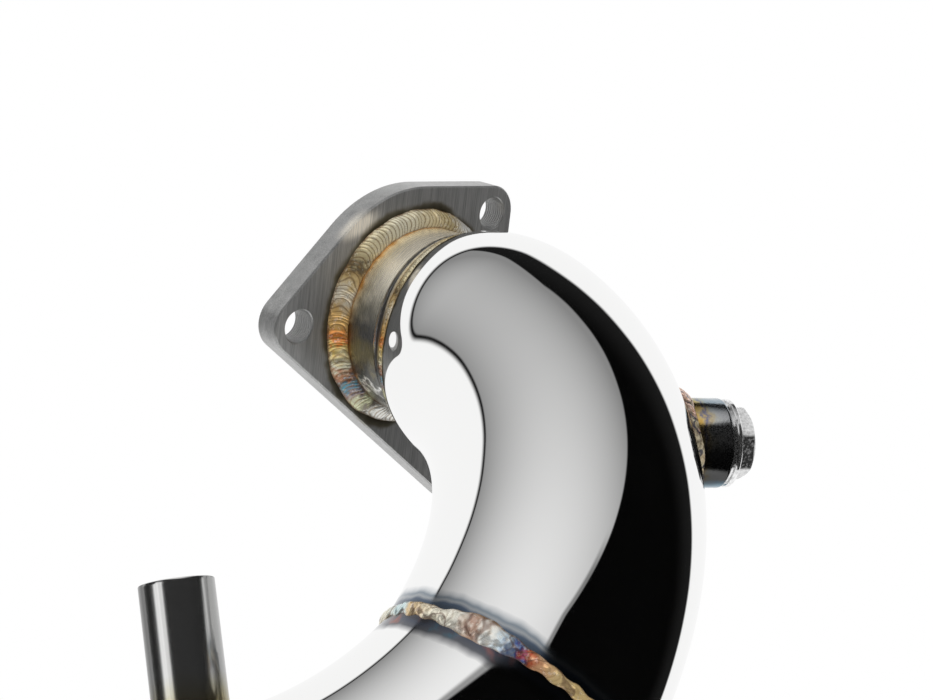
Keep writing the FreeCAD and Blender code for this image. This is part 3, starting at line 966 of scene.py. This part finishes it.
floor_radius = 0.62
floor_middle = (-0.09, -0.09, -0.66)
floor_corners = 96


def make_camera():
    """The camera at the photograph's place, its axes as the columns of its matrix."""
    data = bpy.data.cameras.new("camera")
    data.lens = camera_lens
    data.sensor_width = camera_sensor
    data.sensor_fit = "HORIZONTAL"
    data.clip_start = 0.01
    data.clip_end = 50.0
    camera = bpy.data.objects.new("camera", data)
    bpy.context.scene.collection.objects.link(camera)
    matrix = np.eye(4)
    matrix[:3] = np.stack([camera_right, camera_up, camera_back, camera_place * MM], 1)
    camera.matrix_world = Matrix(matrix.tolist())
    bpy.context.scene.camera = camera


def soft_box(links, across, up, ahead, edge):
    """A round panel overhead, drawn out to the left as far as the backdrop, shaded to one side."""
    height = links.math("MAXIMUM", up, 0.05)
    u = links.math("DIVIDE", across, height)
    v = links.math("DIVIDE", ahead, height)
    left = links.math("MAXIMUM", links.math("SUBTRACT", 0.1, u), 0.0)
    down = links.math("ADD", links.math("MULTIPLY_ADD", left, box_lean, v), box_place)
    over = links.math("MAXIMUM", links.math("SUBTRACT", u, 0.05), 0.0)
    spread = links.length(over, down)
    panel = links.product(links.step(spread, box_radius, box_radius - 0.035),
                          links.step(up, 0.02, 0.10), links.step(edge, -0.006, -0.024))
    by_across, by_up, by_ahead, level = box_shade
    glow = links.math("MULTIPLY_ADD", ahead, by_ahead, level)
    glow = links.math("MULTIPLY_ADD", across, by_across,
                      links.math("MULTIPLY_ADD", up, by_up, glow))
    glow = links.math("MINIMUM", links.math("MAXIMUM", glow, box_darkest), box_brightest)
    rim = links.product(links.step(spread, 0.68, 0.74), links.step(ahead, -0.25, -0.45))
    return links.product(panel, links.product(glow, links.math("MULTIPLY_ADD", rim, -0.65, 1.0)))


def strip_light(links, way):
    """An upright strip: 1 where the direction's turn is near the strip's, between two levels."""
    level = links.dot(way, Z)
    aim = np.radians(strip_turn)
    flat = links.math("SQRT", links.math("SUBTRACT", 1.0, links.math("MULTIPLY", level, level)))
    turn = links.math("DIVIDE", links.dot(way, (np.sin(aim), np.cos(aim), 0.0)), flat)
    strip = links.step(turn, np.cos(np.radians(strip_half)), np.cos(np.radians(strip_core)))
    return links.product(strip, links.step(level, 0.55, 0.40), links.step(level, -0.45, -0.30))


def make_world():
    """White backdrop behind the part, a big soft box overhead and black flags between them.

    Camera and diffuse rays see plain white; glossy rays see the studio by their direction.
    """
    world = bpy.data.worlds.new("studio")
    bpy.context.scene.world = world
    world.use_nodes = True
    links = Links(world.node_tree)
    way = links.add("TexCoord", output="Generated")
    across = links.dot(way, camera_right)
    up = links.dot(way, camera_up)
    ahead = links.dot(way, -camera_back)
    on_left = links.math("MULTIPLY_ADD", across, backdrop_slope, backdrop_left)
    limit = links.math("SMOOTH_MIN", backdrop_ahead, on_left, 0.25)
    edge = links.math("SUBTRACT", ahead, limit)
    backdrop = links.step(edge, -0.004, 0.035, 0.0, backdrop_light)
    halo = links.step(edge, -0.30, -0.01, 0.0, backdrop_glow)
    light = links.highest(soft_box(links, across, up, ahead, edge), strip_light(links, way),
                          backdrop, links.math("ADD", halo, room_light))
    glossy = links.add("LightPath", output="Is Glossy Ray")
    colour = links.mix(glossy, (1, 1, 1, 1), links.as_grey(light))
    shader = links.add("Background", {"Color": colour, "Strength": 1.0})
    links.add("OutputWorld", {"Surface": shader})


def make_floor():
    """A round pale floor well below the part. Half its white is lit, half its own when seen."""
    turn = around(floor_corners)
    rim = np.stack([np.cos(turn), np.sin(turn), 0 * turn], 1) * floor_radius + floor_middle
    mesh = bpy.data.meshes.new("floor")
    mesh.from_pydata(rim.tolist(), [], [list(range(floor_corners))])
    material = bpy.data.materials.new("pale floor")
    material.use_nodes = True
    links = Links(material.node_tree)
    seen = links.highest(*[links.add("LightPath", output=ray) for ray in
                           ("Is Camera Ray", "Is Glossy Ray", "Is Transmission Ray")])
    own = links.add("Emission", {"Color": (1, 1, 1, 1), "Strength": links.product(seen, 0.5)})
    lit = links.add("BsdfDiffuse", {"Color": (0.5, 0.5, 0.5, 1)})
    links.add("OutputMaterial", {"Surface": links.add("AddShader", {0: own, 1: lit})})
    mesh.materials.append(material)
    floor = bpy.data.objects.new("floor", mesh)
    bpy.context.scene.collection.objects.link(floor)


def dress(node, material):
    """A CAD piece whose shape is right keeps it and takes this finish."""
    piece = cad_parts[node]
    piece.data.materials.clear()
    piece.data.materials.append(material)


# Heat colours along each bead, by the share of its round
FLANGE_BEAD = [
    (0.00, SILVER), (0.165, (0.80, 0.80, 0.76)), (0.20, (0.62, 0.50, 0.26)),
    (0.235, (1.0, 0.84, 0.50)), (0.30, (1.0, 0.94, 0.72)), (0.37, (1.0, 0.87, 0.54)),
    (0.393, (0.72, 0.60, 0.34)), (0.404, (0.16, 0.13, 0.09)), (0.416, (0.66, 0.46, 0.20)),
    (0.43, (1.0, 0.76, 0.38)), (0.455, (1.0, 0.92, 0.74)), (0.482, (0.85, 0.56, 0.22)),
    (0.503, (1.0, 0.60, 0.20)), (0.523, (0.95, 0.26, 0.04)), (0.535, (0.90, 0.66, 0.22)),
    (0.568, (0.66, 0.66, 0.50)), (0.585, (0.42, 0.16, 0.07)), (0.602, (0.05, 0.28, 0.38)),
    (0.622, (0.28, 0.20, 0.22)), (0.645, (0.70, 0.74, 0.46)), (0.663, (0.16, 0.15, 0.13)),
    (0.680, (0.72, 0.72, 0.66)), (0.705, (0.93, 0.93, 0.90)), (0.80, (0.80, 0.72, 0.52)),
    (1.00, SILVER)]
SEAM_BEAD = [
    (0.0, grey(0.20)), (0.40, grey(0.24)), (0.47, grey(0.40)), (0.515, grey(0.75)),
    (0.53, grey(0.10)), (1.0, grey(0.20))]
MITRE_BEAD = [
    (0.0, SILVER), (0.30, (0.80, 0.62, 0.36)), (0.55, (1.0, 0.72, 0.30)),
    (0.615, (1.0, 0.75, 0.36)), (0.640, (1.0, 0.56, 0.30)), (0.652, (0.60, 0.08, 0.03)),
    (0.664, (0.04, 0.08, 0.26)), (0.680, (0.60, 0.72, 0.80)), (0.700, (0.93, 0.90, 0.82)),
    (0.716, (0.50, 0.30, 0.22)), (0.735, (0.93, 0.90, 0.80)), (0.775, (0.90, 0.84, 0.66)),
    (0.805, (0.72, 0.50, 0.24)), (0.825, (0.62, 0.78, 0.80)), (0.865, (0.80, 0.76, 0.62)),
    (1.0, SILVER)]
BUNG_BEAD = [
    (0.0, CREAM), (0.12, (0.95, 0.72, 0.45)), (0.25, (0.85, 0.55, 0.20)),
    (0.36, (0.30, 0.36, 0.48)), (0.5, (0.98, 0.95, 0.88)), (0.62, (0.95, 0.50, 0.08)),
    (0.75, (0.85, 0.55, 0.45)), (0.88, (0.24, 0.20, 0.14)), (1.0, CREAM)]

mirror = metal("mirror steel", mirror_steel)
make_upper_elbow(mirror)
make_lower_elbow(mirror)
make_collar(metal("collar steel", collar_steel))
make_collar_beads(metal("flange bead", weld_metal(FLANGE_BEAD)),
                  metal("seam bead", weld_metal(SEAM_BEAD, blotches=0.01, metallic=0.9, valley=0.0,
                                                toe=0.0, flecks=0.0)))
make_mitre_bead(metal("mitre bead", weld_metal(MITRE_BEAD, blotches=0.02, contours=0.6,
                                               metallic=0.58, valley=0.3,
                                               ink=(0.16, 0.08, 0.06))))
make_bung(metal("turned steel", turned_steel))
plated = metal("plated steel", plated_steel)
make_washer(plated)
make_plug(plated)
make_side_pipe(metal("satin tube", satin_tube))
saddle("bung_bead", upper_bend, sensor_foot, sensor_way, bung_radius, leg=3.1, crown=0.45,
       pitch=4.0, ripple=0.26, seed=21,
       finish=(metal("bung bead", weld_metal(BUNG_BEAD, blotches=0.30, contours=0.85, valley=0.4,
                                             ink=(0.03, 0.04, 0.09))), "bung_weld", "weld"))
saddle("branch_bead", lower_bend, branch_foot, branch_way, branch_radius, leg=2.4, crown=0.3,
       pitch=1.6, ripple=0.12, seed=31,
       finish=(metal("branch bead", weld_metal(FLANGE_BEAD, blotches=0.10, metallic=0.7)),
               "branch_weld", "weld"))
dress("turbo_flange", metal("brushed plate", brushed_plate))
make_camera()
make_world()
make_floor()
bpy.context.scene.view_settings.view_transform = "Standard"
